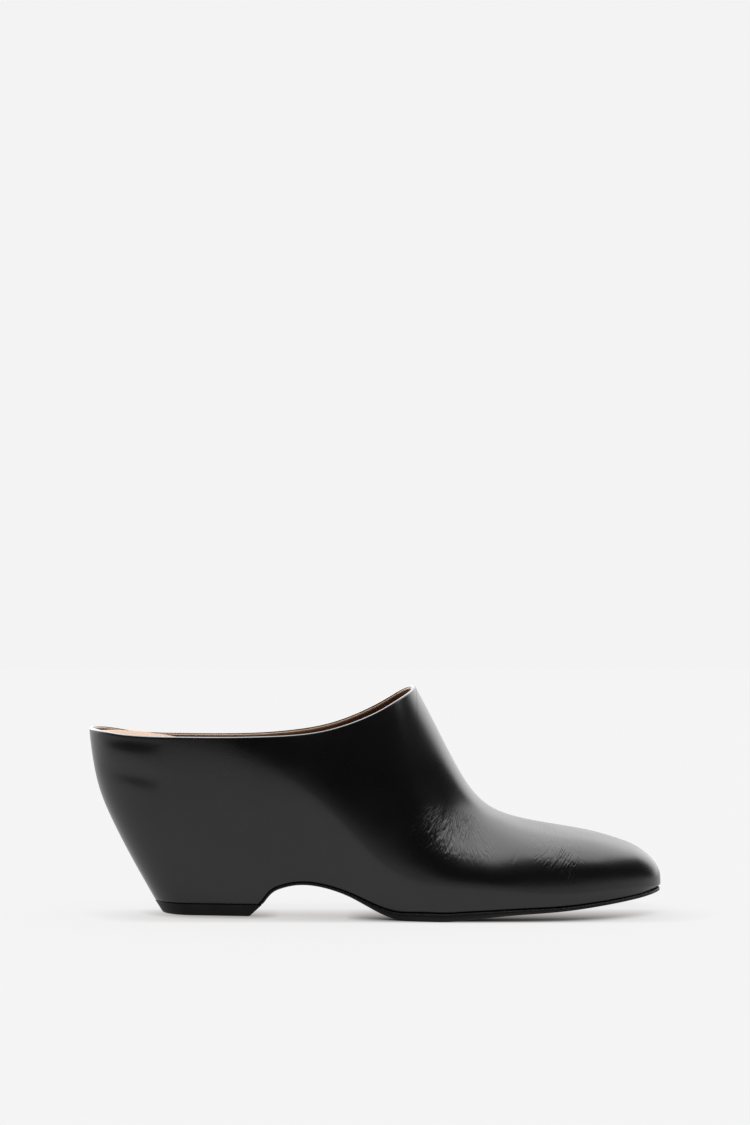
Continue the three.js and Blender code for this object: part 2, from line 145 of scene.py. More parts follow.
# Underside of the sole: from the heel breast to the tread, and the toe spring.
ARCH = curves(["z"], [
    (-53.4, -0.3), (-48, 4.9), (-44.2, 9.6), (-40, 12.0), (-35, 13.3), (-30, 13.7), (-20, 12.3),
    (-10, 8.8), (0, 3.7), (5.5, 1.4), (10, 0.3), (TREAD_START, 0), (TREAD_START + 4, 0),
])
TOE_SPRING = curves(["z"], [
    (TREAD_END - 6, 0), (TREAD_END, 0), (31, 0.15), (36, 0.65), (44, 1.5), (60, 2.9), (77, 3.8),
    (98, 5.7), (112, 7.3), (TOE_X, 8.9),
])
# Thickness of the sole, and how far its edge stands proud of the upper.
SOLE = curves(["thickness", "lip"], [
    (-53, 1.2, 0.3), (-25, 1.2, 0.3), (-5, 1.7, 0.5), (TREAD_START, 3.3, 0.9),
    (TREAD_END, 3.4, 0.9), (36, 3.2, 0.9), (45, 2.75, 0.9), (60, 2.2, 0.9), (77, 1.8, 0.9),
    (100, 1.5, 0.9), (TOE_X, 1.3, 0.9),
])
# Upper face of the insole.
FOOTBED = curves(["z"], [
    (BACK_X, 77.4), (-115, 77.0), (-105, 76.2), (-95, 74.8), (-80, 71.8), (-65, 67.2),
    (-50, 61.0), (-35, 53.2), (-20, 43.8), (-5, 33.0), (10, 22.4), (25, 14.0), (38, 9.6),
    (52, 8.2), (77, 9.2), (98, 10.9), (TOE_X, 13.9),
])


def lerp(a, b, t):
    return a + (b - a) * t


def smoothstep(x, low, high):
    t = np.clip((x - low) / (high - low), 0, 1)
    return t * t * (3 - 2 * t)


def rounded(t, power):
    """Superellipse quarter: 1 at 0, falling to 0 at 1."""
    return (1 - np.clip(t, 0, 1) ** power) ** (1 / power)


def undercut(u):
    """0 at the widest line, growing almost straight to 1 at the sole."""
    full = math.hypot(1, UNDERCUT_BLEND) - UNDERCUT_BLEND
    return (np.hypot(u, UNDERCUT_BLEND) - UNDERCUT_BLEND) / full


def sole_under(x):
    """Height of the sole's underside."""
    return np.where(x < TREAD_START, ARCH.z(x), np.where(x > TREAD_END, TOE_SPRING.z(x), 0.0))


def sole_top(x):
    """Height of the sole's upper face: its thickness is measured square to the underside."""
    slope = sole_under(x + 0.5) - sole_under(x - 0.5)
    return sole_under(x) + SOLE.thickness(x) * np.hypot(1, slope)


def foot_z(x):
    """Height at which the upper ends: on the lift under the heel, on the sole in front of it."""
    lift = np.where(x < SHANK_X, TOP_PIECE_HEIGHT, 0.0)
    return np.maximum(lift, sole_top(x)) + GAP


def insole_under(x):
    """Height of the insole's underside, on the wedge and then on the sole."""
    slope = FOOTBED.z(x + 0.5) - FOOTBED.z(x - 0.5)
    return np.maximum(FOOTBED.z(x) - INSOLE_THICKNESS * np.hypot(1, slope), sole_top(x) + GAP)


def ridge_z(x, inset):
    """Height of the ridge, with the nose rounded down. inset moves it square to itself."""
    reach = np.clip((x - TOE_ROUND_START) / (TOE_X - inset - TOE_ROUND_START), 0, 1)
    slope = RIDGE.z(x + 0.5) - RIDGE.z(x - 0.5)
    return RIDGE.z(x) - inset * np.hypot(1, slope) - TOE_ROUND_DROP * (1 - np.sqrt(1 - reach**2))


def lean_at(station):
    """How far a section leans with the back seam: fully at the heel, not at all from LEAN_END."""
    return 1 - smoothstep(station, BACK_X, LEAN_END)


def lean_x(station, z):
    """Forward place, at height z, of the section that stands at a station on the collar."""
    return station + lean_at(station) * (BACK_SEAM.x(z) - BACK_X)


def station_foot_z(station):
    """Height of the foot line under a station, found by repetition because sections lean."""
    z = TOP_PIECE_HEIGHT + GAP
    for _ in range(8):
        z = foot_z(lean_x(station, z))
    return z


def station_at(x):
    """The station whose section reaches x at the foot line of the heel."""
    shift = BACK_SEAM.x(TOP_PIECE_HEIGHT + GAP) - BACK_X
    station = x
    for _ in range(40):
        station = x - lean_at(station) * shift
    return station


def close_in(station, z, distance, inset):
    """Sideways place of a wall, drawn in to the rounded back and the squared toe."""
    power = lerp(HEEL_BASE_POWER, HEEL_COLLAR_POWER, np.clip(z / COLLAR_HEIGHT, 0, 1))
    behind = (station - BACK_X - inset) / (HEEL_LENGTH - inset)
    ahead = (station - TOE_PLAN_START) / (TOE_X - inset - TOE_PLAN_START)
    draw = rounded(1 - behind, power) * rounded(ahead, TOE_PLAN_POWER)
    middle = TOE_PLAN_MIDDLE * smoothstep(station, 0, TOE_X)
    return lerp(middle, distance, draw)


def skin(station, side, rise, inset=0.0):
    """Points of the last's skin. side is -1 on the outer side and +1 on the inner, and rise runs
    from 0 at the foot line through 1 at the widest line to 2 on the ridge."""
    station, rise = np.broadcast_arrays(np.asarray(station, float), np.asarray(rise, float))
    low = station_foot_z(station)
    middle = np.maximum(SIDE.belly(station), low + 0.5)
    outer = side < 0
    belly = side * (PLAN.belly_outer(station) if outer else PLAN.belly_inner(station))
    foot = side * (PLAN.foot_outer(station) if outer else PLAN.foot_inner(station))

    low_rise = np.clip(rise, 0, 1)
    under = undercut(1 - low_rise)
    low_z = lerp(low, middle, low_rise)
    low_y = close_in(station, low_z, lerp(belly, foot, under) - side * inset, inset)
    tuck = TOE_TUCK * under * smoothstep(station, TOE_ROUND_START, TOE_X)

    turn = (np.clip(rise, 1, 2) - 1) * math.pi / 2
    top = np.maximum(ridge_z(station, inset), middle + 0.2)
    full = 2 / SIDE.fullness(station)
    high_z = lerp(middle, top, np.sin(turn) ** full)
    edge = close_in(station, high_z, belly - side * inset, inset)
    crest = close_in(station, high_z, SIDE.ridge_y(station), inset)
    climb = (high_z - middle) / SIDE.waist(station)
    drawn = SIDE.narrowing(station) * (1 - np.exp(-(climb**2.5)))
    spread = np.abs(np.cos(turn)) ** full * (1 - drawn)

    is_low = rise <= 1
    z = np.where(is_low, low_z, high_z)
    y = np.where(is_low, low_y, lerp(crest, edge, spread))
    x = lean_x(station, z) - np.where(is_low, tuck, 0)
    return np.stack([x, y, z], axis=-1)


def wall_rise(station, z, inset=0.0):
    """The rise at which a section reaches height z."""
    low = station_foot_z(station)
    middle = np.maximum(SIDE.belly(station), low + 0.5)
    top = np.maximum(ridge_z(station, inset), middle + 0.2)
    share = np.clip((z - middle) / (top - middle), 0, 1) ** (SIDE.fullness(station) / 2)
    high = np.arcsin(share) * 2 / math.pi
    return np.where(z <= middle, np.clip((z - low) / (middle - low), 0, 1), 1 + high)


def above_topline(points):
    """Height above the collar's top line, which runs straight on past the throat."""
    x, y, z = points[..., 0], points[..., 1], points[..., 2]
    past = np.maximum(x - THROAT_X, 0)
    return z - TOPLINE.z(x) - TOPLINE.tilt(x) * y - RIM_RISE * past


# ---------------------------------------------------------------- meshes
def joined(points, faces):
    """Points without their doubles, the faces that are left with three corners or more, and which
    of the given points each kept one is."""
    _, first, where = np.unique(np.round(points, 3), axis=0, return_index=True, return_inverse=True)
    where = where.ravel()
    kept = []
    for face in where[np.array(faces)].tolist():
        ring = [p for k, p in enumerate(face) if p != face[k - 1]]
        if len(ring) >= 3 and len(set(ring)) == len(ring):
            kept.append(ring)
    return points[first], kept, first


def quads(grid, closed=False):
    """Faces between neighbouring rows of a grid of point numbers. closed joins each row's ends."""
    if closed:
        grid = np.concatenate([grid, grid[:, :1]], axis=1)
    corners = (grid[:-1, :-1], grid[:-1, 1:], grid[1:, 1:], grid[1:, :-1])
    return np.stack(corners, axis=-1).reshape(-1, 4).tolist()


def fan(ring):
    """Faces that close a ring of point numbers. The last corner of each is given twice, so that
    they are as long as quads, and joined() drops it."""
    return [[int(ring[0]), int(a), int(b), int(b)] for a, b in zip(ring[1:-1], ring[2:])]


def swept(rings, capped=False):
    """Points and faces of the skin through closed rings of points, with caps or open ends."""
    points = np.array(rings, float)
    grid = np.arange(points.shape[0] * points.shape[1]).reshape(points.shape[:2])
    faces = quads(grid, closed=True)
    if capped:
        faces += fan(grid[0]) + fan(grid[-1])
    return points.reshape(-1, 3), faces


def add_piece(name, points, faces, material, stands_for, attributes=None):
    """Closed, smooth-shaded piece that rides on the shoe and stands for a CAD node. Points are in
    millimetres, and attributes are numbers for each point that the material reads."""
    points, faces, first = joined(points, faces)
    mesh = bpy.data.meshes.new(name)
    mesh.from_pydata((points * MM).tolist(), [], faces)
    shape = bmesh.new()
    shape.from_mesh(mesh)
    bmesh.ops.recalc_face_normals(shape, faces=shape.faces)
    shape.to_mesh(mesh)
    shape.free()
    mesh.polygons.foreach_set("use_smooth", [True] * len(mesh.polygons))
    for label, values in (attributes or {}).items():
        attribute = mesh.attributes.new(label, "FLOAT", "POINT")
        attribute.data.foreach_set("value", np.asarray(values, np.float32)[first])
    mesh.materials.append(material)
    piece = bpy.data.objects.new(name, mesh)
    bpy.context.scene.collection.objects.link(piece)
    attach(piece, BODY)
    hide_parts(stands_for)
    return piece


def unit(vectors):
    """Vectors brought to length 1."""
    return vectors / np.maximum(np.linalg.norm(vectors, axis=-1, keepdims=True), 1e-12)


def spaced(low, high, count, ease=lambda t: t):
    """Places from low to high, in count steps."""
    return lerp(low, high, ease(np.linspace(0, 1, count + 1)))


def crowd_first(t):
    """Ease that puts places close together at the start."""
    return 1 - np.cos(t * math.pi / 2)


def crowd_last(t):
    """Ease that puts places close together at the end."""
    return np.sin(t * math.pi / 2)


def gather_last(t):
    """Crowds less tightly than crowd_last, so that no face is too narrow to be offset."""
    return 1 - (1 - t) ** 1.5


def arc(centre, radius, start, end, count):
    """Points of an arc in the plane of a profile, angles in degrees."""
    angles = np.radians(np.linspace(start, end, count + 1))
    return [(centre[0] + radius * math.cos(a), centre[1] + radius * math.sin(a)) for a in angles]


# ---------------------------------------------------------------- the wall of the upper
EDGE = 1.4  # height of the collar's edge, which is swept as one profile
FOLD_RADIUS = 0.8  # outer half of the folded leather
ROWS = 132  # faces up each column of one side
HIDDEN_ROWS = 11  # rows apart of the points on faces between leather and lining


def throat_station():
    """Where the ridge passes just under the line that the collar's fold starts from."""
    low, high = THROAT_X - 6, THROAT_X + 6
    for _ in range(60):
        middle = (low + high) / 2
        if above_topline(skin(middle, -1, 2.0)) > -EDGE:
            low = middle
        else:
            high = middle
    return high


def wall_stations():
    """Stations of the wall's columns, close together at the back, the throat, the ball and the
    toe, and the number of them that end on the collar."""
    throat = throat_station()
    before = np.concatenate([
        spaced(BACK_X, -100, 34, crowd_first),
        spaced(-100, 8, 84)[1:],
        spaced(8, throat, 24, gather_last)[1:],
    ])
    after = np.concatenate([
        spaced(throat, 78, 112)[1:],
        spaced(78, 108, 26)[1:],
        spaced(108, TOE_X, 30, crowd_last)[1:],
    ])
    return np.concatenate([before, after]), len(before)


def column_ends(stations, side):
    """Rise at which each column ends: where the collar's fold starts, or on the ridge."""
    low, high = np.full(len(stations), 0.2), np.full(len(stations), 2.0)
    meets_collar = above_topline(skin(stations, side, high)) > -EDGE
    for _ in range(50):
        middle = (low + high) / 2
        over = above_topline(skin(stations, side, middle)) > -EDGE
        high = np.where(over, middle, high)
        low = np.where(over, low, middle)
    return np.where(meets_collar, low, 2.0)


def even_columns(stations, side):
    """Points that lie evenly along each column of one side."""
    rise = column_ends(stations, side)[:, None] * np.linspace(0, 1, 400)
    fine = skin(stations[:, None], side, rise)
    steps = np.linalg.norm(np.diff(fine, axis=1), axis=-1)
    along = np.concatenate([np.zeros((len(stations), 1)), np.cumsum(steps, axis=1)], axis=1)
    even = [
        np.interp(np.linspace(0, length[-1], ROWS + 1), length, rises)
        for length, rises in zip(along, rise)
    ]
    return skin(stations[:, None], side, np.array(even))


def shared_normals(points, grids):
    """Outward unit normals of grids of point numbers, averaged over the faces round each point.
    Points in the same place share one normal."""
    _, where = np.unique(np.round(points, 3), axis=0, return_inverse=True)
    where = where.ravel()
    total = np.zeros((where.max() + 1, 3))
    for grid, sign in grids:
        corners = (grid[:-1, :-1], grid[:-1, 1:], grid[1:, 1:], grid[1:, :-1])
        a, b, c, d = (points[corner] for corner in corners)
        face = sign * np.cross(c - a, d - b)
        for corner in corners:
            np.add.at(total, where[corner], face)
    return unit(total)[where]


# Main creases of the outer side, where the instep and the toes flex: places (x, z) along each,
# and its depth and half width.
CREASES = [
    ([(9.4, 45.5), (11.5, 50.4)], 0.1, 0.8),
    ([(18.1, 38.9), (21.4, 43.3)], 0.14, 0.8),
    ([(21.7, 36.2), (24.7, 42.7)], 0.17, 0.8),
    ([(23.3, 31.8), (26.3, 36.2), (28.5, 40.6), (29.9, 45.5)], 0.22, 0.8),
    ([(25.2, 32.9), (30.1, 38.9), (32.3, 40.6)], 0.18, 0.8),
    ([(28.5, 28.0), (31.8, 32.9), (34.0, 37.3)], 0.18, 0.8),
    ([(38.9, 40.6), (39.4, 36.2), (41.0, 30.7)], 0.08, 0.8),
    ([(43.8, 35.6), (46.0, 28.5)], 0.1, 0.8),
    ([(57.5, 24.2), (59.4, 29.1)], 0.1, 0.8),
    ([(71.2, 20.9), (73.9, 24.7), (76.0, 27.4)], 0.15, 0.8),
    ([(73.9, 21.4), (77.2, 25.2), (79.4, 28.0)], 0.18, 0.8),
    ([(77.7, 20.3), (81.0, 25.8), (83.2, 29.6)], 0.18, 0.8),
    ([(79.9, 30.2), (85.9, 32.9), (90.3, 36.2)], 0.08, 1.2),
    ([(-118.0, 75.5), (-106.0, 75.0), (-90.0, 73.5)], 0.42, 4.5),
    ([(-118.0, 62.5), (-106.0, 61.0), (-90.0, 57.5)], 0.5, 5),
]
# Fans of fine wrinkles, as (x, z) of the point they spread from, the nearest and farthest distance
# from it, and the first and last angle. Each range is given where the wrinkles start and where
# they are full.
WRINKLE_FANS = [
    ((36, 58), (11, 20, 29, 37), (-155, -128, -82, -45)),
    ((107.7, 75.3), (46, 55, 60, 68), (-140, -127, -117, -109)),
]


def fine_wrinkles(points):
    """Attributes for the leather's bump: places across and along the wrinkles, in millimetres,
    and how strong they are."""
    across, along, strength = (np.zeros(len(points)) for _ in range(3))
    for (x, z), reach, turn in WRINKLE_FANS:
        dx, dz = points[:, 0] - x, points[:, 2] - z
        away, angle = np.hypot(dx, dz), np.arctan2(dz, dx)
        degrees = np.degrees(angle)
        here = smoothstep(away, *reach[:2]) * (1 - smoothstep(away, *reach[2:]))
        here *= smoothstep(degrees, *turn[:2]) * (1 - smoothstep(degrees, *turn[2:]))
        middle = (reach[1] + reach[2]) / 2
        across = np.where(here > strength, angle * middle, across)
        along = np.where(here > strength, away, along)
        strength = np.maximum(strength, here)
    return {"wrinkle_across": across, "wrinkle_along": along, "wrinkled": strength}


def crease_path(places):
    """Points 0.4 mm apart along a crease that lies on the outer side."""
    x, z = np.array(places).T
    run = np.concatenate([[0], np.cumsum(np.hypot(np.diff(x), np.diff(z)))])
    along = np.linspace(0, run[-1], int(run[-1] / 0.4) + 2)
    x, z = np.interp(along, run, x), np.interp(along, run, z)
    station = x
    for _ in range(30):
        station = x - lean_at(station) * (BACK_SEAM.x(z) - BACK_X)
    return skin(station, -1, wall_rise(station, z))


def sunk_by_creases(points):
    """How deep the creases press each point of the wall in: a trough between two low ridges that
    fades out towards both ends."""
    depth = np.zeros(len(points))
    for places, deepest, width in CREASES:
        path = crease_path(places)
        low, high = path.min(axis=0) - 3 * width, path.max(axis=0) + 3 * width
        near = np.flatnonzero(np.all((points > low) & (points < high), axis=1))
        apart = np.linalg.norm(points[near, None] - path, axis=-1)
        nearest = apart.argmin(axis=1)
        reach = (apart.min(axis=1) / width) ** 2
        ends = np.sin(np.pi * (nearest + 0.5) / len(path)) ** 0.7
        depth[near] += deepest * ends * (1 - reach) * np.exp(-reach)
    return depth


def build_wall():
    """The upper's outer face: a grid of point numbers for each side, the points' normals, and the
    ring of points that the collar's fold starts from, with the way up at each."""
    stations, on_collar = wall_stations()
    columns = [even_columns(stations, side) for side in (-1, 1)]
    points = np.concatenate([column.reshape(-1, 3) for column in columns])
    outer = np.arange(len(points) // 2).reshape(len(stations), ROWS + 1)
    inner = outer + outer.size
    normals = shared_normals(points, [(outer, -1), (inner, 1)])
    sunk = sunk_by_creases(points)
    points -= normals * sunk[:, None]
    ring = np.concatenate([outer[:on_collar, -1], inner[on_collar - 2:0:-1, -1]])
    here = points[ring]
    along = unit(np.roll(here, -1, axis=0) - np.roll(here, 1, axis=0))
    up = unit(np.cross(normals[ring], along))
    up *= np.sign(up[:, 2:3])
    return SimpleNamespace(points=points, normals=normals, sides=(outer, inner), ring=ring, up=up)


def layer_of(wall, depths, row_steps, edge):
    """Closed layer of the wall between two depths below its outer face. row_steps says how many
    rows apart the points of each face are, and edge is the profile over the collar: pairs of a
    depth and a height above the line where the fold starts."""
    count, size = len(wall.points), len(wall.ring)
    faces_of_layer = [wall.points - wall.normals * np.reshape(depth, (-1, 1)) for depth in depths]
    here, inwards = wall.points[wall.ring], -wall.normals[wall.ring]
    rings = [here + inwards * depth + wall.up * height for depth, height in edge]
    faces = []
    for k, step in enumerate(row_steps):
        rows = np.unique(np.r_[0:ROWS:step, ROWS])
        for side in wall.sides:
            faces += quads(side[:, rows] + k * count)
    over = [2 * count + k * size + np.arange(size) for k in range(len(edge))]
    faces += quads(np.stack([wall.ring, *over, wall.ring + count]), closed=True)
    for side in wall.sides:
        faces += quads(np.stack([side[:, 0], side[:, 0] + count]))
    return np.concatenate(faces_of_layer + rings), faces


# ---------------------------------------------------------------- materials
def new_material(name, colour, roughness, specular=0.5):
    """Material with a Principled shader, and a short way to add nodes to it."""
    material = bpy.data.materials.new(name)
    material.use_nodes = True
    tree = material.node_tree
    shader = tree.nodes["Principled BSDF"]
    shader.inputs["Base Color"].default_value = (*colour, 1)
    shader.inputs["Roughness"].default_value = roughness
    shader.inputs["Specular IOR Level"].default_value = specular
    return material, tree, shader


def node(tree, kind, inputs=(), **settings):
    """Adds a node. inputs maps sockets to values or to the sockets that feed them."""
    made = tree.nodes.new(kind)
    for key, value in settings.items():
        setattr(made, key, value)
    for key, value in dict(inputs).items():
        if isinstance(value, bpy.types.NodeSocket):
            tree.links.new(value, made.inputs[key])
        else:
            made.inputs[key].default_value = value
    return made


def math_node(tree, operation, a, b=0.0, clamp=False):
    """Result of one operation on sockets or numbers."""
    inputs = {0: a, 1: b}
    made = node(tree, "ShaderNodeMath", inputs, operation=operation, use_clamp=clamp)
    return made.outputs[0]


def product(tree, first, *rest):
    """Product of sockets and numbers."""
    for factor in rest:
        first = math_node(tree, "MULTIPLY", first, factor)
    return first


def map_range(tree, value, low, high, bottom=0.0, top=1.0, shape="LINEAR"):
    """Takes value from bottom at low to top at high, and keeps it level outside them."""
    inputs = {"Value": value, "From Min": low, "From Max": high, "To Min": bottom, "To Max": top}
    return node(tree, "ShaderNodeMapRange", inputs, interpolation_type=shape).outputs["Result"]


def bump(tree, height, strength, depth, normal=None):
    """Normal that a height of 0 to 1 gives, for relief of that many millimetres."""
    inputs = {"Strength": strength, "Distance": depth * MM, "Height": height}
    if normal is not None:
        inputs["Normal"] = normal
    return node(tree, "ShaderNodeBump", inputs).outputs["Normal"]


def ramp(tree, factor, stops):
    """Colour ramp through (place, colour) stops."""
    made = node(tree, "ShaderNodeValToRGB", {"Fac": factor})
    elements = made.color_ramp.elements
    while len(elements) < len(stops):
        elements.new(0.5)
    for element, (place, colour) in zip(elements, stops):
        element.position = place
        element.color = (*colour, 1)
    return made.outputs["Color"]


def object_point(tree, scale=1.0):
    """Place in the shoe's frame, in millimetres times scale."""
    where = node(tree, "ShaderNodeTexCoord").outputs["Object"]
    size = scale / MM
    return node(
        tree, "ShaderNodeVectorMath", {0: where, 1: (size, size, size)}, operation="MULTIPLY"
    ).outputs[0]


def noise(tree, vector, scale, detail=3.0, roughness=0.5):
    """Noise between 0 and 1. scale is in waves a millimetre."""
    inputs = {"Vector": vector, "Scale": scale, "Detail": detail, "Roughness": roughness}
    return node(tree, "ShaderNodeTexNoise", inputs).outputs["Fac"]


def grey(value):
    return (value, value, value)


WRINKLE_SCALE, WRINKLE_STRETCH = 0.72, 0.24  # noise across the wrinkles, and how drawn out it is
WRINKLE_DEPTH = 0.115  # millimetres


def wrinkle_bump(tree, normal):
    """Fine wrinkles that run along the fans of the piece's attributes, over a normal."""
    across, along, strength = (
        node(tree, "ShaderNodeAttribute", attribute_name=name).outputs["Fac"]
        for name in ("wrinkle_across", "wrinkle_along", "wrinkled")
    )
    drawn_out = {0: across, 1: math_node(tree, "MULTIPLY", along, WRINKLE_STRETCH)}
    place = node(tree, "ShaderNodeCombineXYZ", drawn_out).outputs[0]
    folds = math_node(tree, "SUBTRACT", noise(tree, place, WRINKLE_SCALE, 1.5, 0.55), 0.5)
    folds = math_node(tree, "ABSOLUTE", folds)
    valleys = math_node(tree, "MULTIPLY", folds, 9.0, clamp=True)
    groups = noise(tree, object_point(tree), 0.16, 1.0, 0.5)
    groups = math_node(tree, "MULTIPLY", groups, 1.6, clamp=True)
    return bump(tree, product(tree, strength, groups, valleys), 1.0, WRINKLE_DEPTH, normal)


def black_leather():
    """Smooth black calf: a pebbled grain, fine wrinkles, and a slow change of sheen."""
    material, tree, shader = new_material("black_leather", (0.0035, 0.0035, 0.004), 0.3)
    place = object_point(tree)
    warp = {"Vector": place, "Scale": 0.35, "Detail": 2.0}
    warp = node(tree, "ShaderNodeTexNoise", warp).outputs["Color"]
    bent = {0: warp, 1: (0.9, 0.9, 0.9), 2: place}
    bent = node(tree, "ShaderNodeVectorMath", bent, operation="MULTIPLY_ADD").outputs[0]
    cells = {"Vector": bent, "Scale": 1.25, "Randomness": 1.0}
    cells = node(tree, "ShaderNodeTexVoronoi", cells, feature="SMOOTH_F1").outputs["Distance"]
    pores = noise(tree, place, 3.2, 4.0, 0.6)
    pebbles = noise(tree, bent, 0.42, 5.0, 0.62)
    height = math_node(tree, "MULTIPLY", cells, 0.5)
    height = math_node(tree, "ADD", height, math_node(tree, "MULTIPLY", pores, 0.28))
    height = math_node(tree, "ADD", height, math_node(tree, "MULTIPLY", pebbles, 0.9))
    grain = bump(tree, height, 0.35, 0.06)
    tree.links.new(wrinkle_bump(tree, grain), shader.inputs["Normal"])
    rough = map_range(tree, noise(tree, place, 0.045, 3.0, 0.5), 0.3, 0.7, 0.26, 0.33)
    tree.links.new(rough, shader.inputs["Roughness"])
    return material


def burnished_edge():
    """Black leather polished where it folds over the collar."""
    material, _, shader = new_material("burnished_edge", (0.004, 0.004, 0.0045), 0.16, specular=0.9)
    shader.inputs["Coat Weight"].default_value = 0.5
    shader.inputs["Coat Roughness"].default_value = 0.12
    return material


def soft_leather(name, dark, light, roughness, grain_scale):
    """Unpainted lining leather: two close tones, and a fine matt grain."""
    material, tree, shader = new_material(name, light, roughness, specular=0.35)
    place = object_point(tree)
    tone = noise(tree, place, 0.09, 4.0, 0.6)
    colour = ramp(tree, tone, [(0.3, dark), (0.7, light)])
    tree.links.new(colour, shader.inputs["Base Color"])
    pores = noise(tree, place, grain_scale, 5.0, 0.65)
    tree.links.new(bump(tree, pores, 0.3, 0.08), shader.inputs["Normal"])
    return material


def paler_where(material, label, colour):
    """Mixes a colour in where the piece's attribute of that name is set."""
    tree = material.node_tree
    base = tree.nodes["Principled BSDF"].inputs["Base Color"]
    share = node(tree, "ShaderNodeAttribute", attribute_name=label).outputs["Fac"]
    mixed = node(
        tree, "ShaderNodeMix", {"Factor": share, 6: base.links[0].from_socket, 7: (*colour, 1)},
        data_type="RGBA",
    ).outputs[2]
    tree.links.new(mixed, base)


def black_rubber(name, roughness, value):
    """Hard black sole rubber with a very fine tooth."""
    material, tree, shader = new_material(name, grey(value), roughness, specular=0.22)
    place = object_point(tree)
    tooth = noise(tree, place, 2.6, 4.0, 0.7)
    tree.links.new(bump(tree, tooth, 0.3, 0.05), shader.inputs["Normal"])
    wear = noise(tree, place, 0.12)
    scuff = map_range(tree, wear, 0.35, 0.65, roughness - 0.05, roughness + 0.07)
    tree.links.new(scuff, shader.inputs["Roughness"])
    return material


def core_wood():
    """Pale wood of the covered wedge, with rings along the heel."""
    material, tree, shader = new_material("wedge_wood", (0.42, 0.28, 0.16), 0.8, specular=0.2)
    place = object_point(tree, 0.25)
    rings = {"Vector": place, "Scale": 0.8, "Distortion": 4.0, "Detail": 3.0}
    rings = node(tree, "ShaderNodeTexWave", rings, wave_type="RINGS").outputs["Fac"]
    colour = ramp(tree, rings, [(0.0, (0.36, 0.23, 0.13)), (1.0, (0.48, 0.33, 0.2))])
    tree.links.new(colour, shader.inputs["Base Color"])
    return material


# ---------------------------------------------------------------- pieces
def make_upper(wall):
    """Black leather, folded over at the collar down to the trimmed edge of the lining."""
    # over the fold, down its rounded inner corner, and back under it to the lining
    profile = arc((FOLD_RADIUS, EDGE - FOLD_RADIUS), FOLD_RADIUS, 180, 90, 10)
    profile += arc((1.15, EDGE - 0.3), 0.3, 90, 0, 5)
    profile += [(1.45, EDGE - 0.4), (1.3, EDGE - 0.4)]
    points, faces = layer_of(wall, (0.0, LEATHER), (1, HIDDEN_ROWS), profile)
    unfolded = 2 * len(wall.points) + 3 * len(wall.ring)  # both faces and the fold's first rings
    attributes = fine_wrinkles(points)
    attributes["folded"] = np.arange(len(points)) >= unfolded
    piece = add_piece(
        "upper_leather", points, faces, black_leather(), "upper", attributes
    )
    piece.data.materials.append(burnished_edge())
    on_fold = np.array([value.value > 0.5 for value in piece.data.attributes["folded"].data])
    for face in piece.data.polygons:
        face.material_index = int(on_fold[list(face.vertices)].all())
    return piece


def make_lining(wall):
    """Brown lining with a rounded edge that shows as a paler line under the fold: a pale cut edge,
    lightened further as a painted highlight.
    """
    profile = [
        (2.1, 0.12), (2.16, 0.3), (2.14, 0.5), (2.04, 0.68), (1.88, 0.83), (1.66, 0.92),
        (1.4, 0.95),
    ]
    points, faces = layer_of(wall, (WALL, LINING_BACK), (3, HIDDEN_ROWS), profile)
    # the edge's paler colour is partly the lining's pale cut edge and partly a painted highlight of
    # the overhead light
    edge_and_highlight_share = {"pale_cut_edge_and_highlight": np.arange(len(points)) >= 2 * len(wall.points)}
    dark, light = (0.12, 0.066, 0.04), (0.19, 0.112, 0.07)
    material = soft_leather("lining_leather", dark, light, 0.6, 1.8)
    paler_where(material, "pale_cut_edge_and_highlight", (0.4, 0.3, 0.23))
    return add_piece("upper_lining", points, faces, material, "upper", edge_and_highlight_share)


PAD_SIDE_INSET = WALL + GAP  # the pad stands this far inside the last's skin
PAD_TOE_INSET = PAD_SIDE_INSET + 2
PAD_TOE = 92.0  # the inset grows from here on
PAD_ROUND, PAD_CROWN = 1.3, 0.8  # rounded edge, and height of the crown


def pad_ring(station):
    """Section of the insole pad: its outer edge, its crowned top and its inner edge."""
    toe = TOE_X - PAD_TOE_INSET
    inset = lerp(PAD_SIDE_INSET, PAD_TOE_INSET, smoothstep(station, PAD_TOE, toe))
    x = lean_x(station, FOOTBED.z(station))
    under, top = float(insole_under(x)), float(FOOTBED.z(x))
    heights = np.array([under, (under + top) / 2, top - PAD_ROUND * 0.6, top])
    outer, inner = (
        skin(station, side, wall_rise(station, heights, inset), inset) for side in (-1, 1)
    )
    half = abs(inner[-1, 1] - outer[-1, 1]) / 2
    radius = min(PAD_ROUND, half * 0.6)

    def round_off(corner, sign, angle):
        drop = radius * 0.6 * (1 - math.sin(angle))
        return corner[0], corner[1] + sign * radius * (1 - math.cos(angle)), top - drop

    turns = np.radians(np.linspace(0, 90, 6))[1:]
    ring = list(outer[:3])
    ring += [round_off(outer[-1], 1, angle) for angle in turns]
    for t in np.linspace(0, 1, 23)[1:-1]:
        y = lerp(outer[-1, 1] + radius, inner[-1, 1] - radius, t)
        bulge = PAD_CROWN * min(1, half / 18) * (1 - (2 * t - 1) ** 2)
        ring.append((outer[-1, 0], y, top + bulge))
    ring += [round_off(inner[-1], -1, angle) for angle in turns[::-1]]
    return ring + list(inner[2::-1])


def make_insole():
    """Padded footbed with a rounded edge and a slight crown."""
    stations = np.concatenate([
        spaced(BACK_X + PAD_SIDE_INSET, -98, 26, crowd_first),
        spaced(-98, PAD_TOE, 110)[1:],
        spaced(PAD_TOE, TOE_X - PAD_TOE_INSET, 30, crowd_last)[1:],
    ])
    points, faces = swept([pad_ring(station) for station in stations])
    dark, light = (0.29, 0.163, 0.09), (0.35, 0.202, 0.116)
    material = soft_leather("insole_leather", dark, light, 0.55, 2.2)
    piece = add_piece("insole_pad", points, faces, material, "insole")
    return piece


